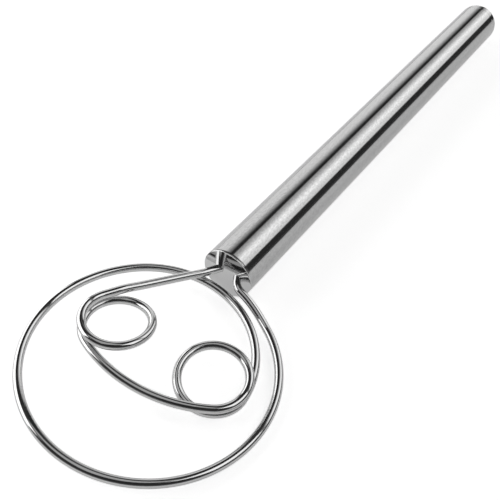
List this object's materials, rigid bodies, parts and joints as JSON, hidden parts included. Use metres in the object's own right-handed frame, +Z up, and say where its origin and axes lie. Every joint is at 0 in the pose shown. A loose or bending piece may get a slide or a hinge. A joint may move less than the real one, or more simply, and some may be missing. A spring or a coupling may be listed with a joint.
{
  "type": "dough whisk",
  "caption": "Dough whisk with a looped steel wire head and a hollow round satin steel handle, lying at rest on its side",
  "frame": {"origin": "on the table under the middle of the whisk's bounding box", "axes": "+X along the handle towards the wire head, +Z up from the table, +Y completes the right-handed set, towards the side of the ring that touches the table"},
  "size_m": [0.3294, 0.0856, 0.02],
  "materials": {
    "polished_wire": "polished stainless spring wire",
    "satin_steel": "satin brushed stainless tube",
    "polished_steel": "mirror polished stainless cap",
    "plain_steel": "turned bar, unseen",
    "weld_steel": "raw weld bead, unseen"
  },
  "bodies": {
    "root": {"whisk_wire": "polished_wire", "handle_tube": "satin_steel", "front_cap": "polished_steel", "rear_cap": "satin_steel", "anchor_plug": "plain_steel", "wire_welds": "weld_steel"}
  },
  "joints": []
}
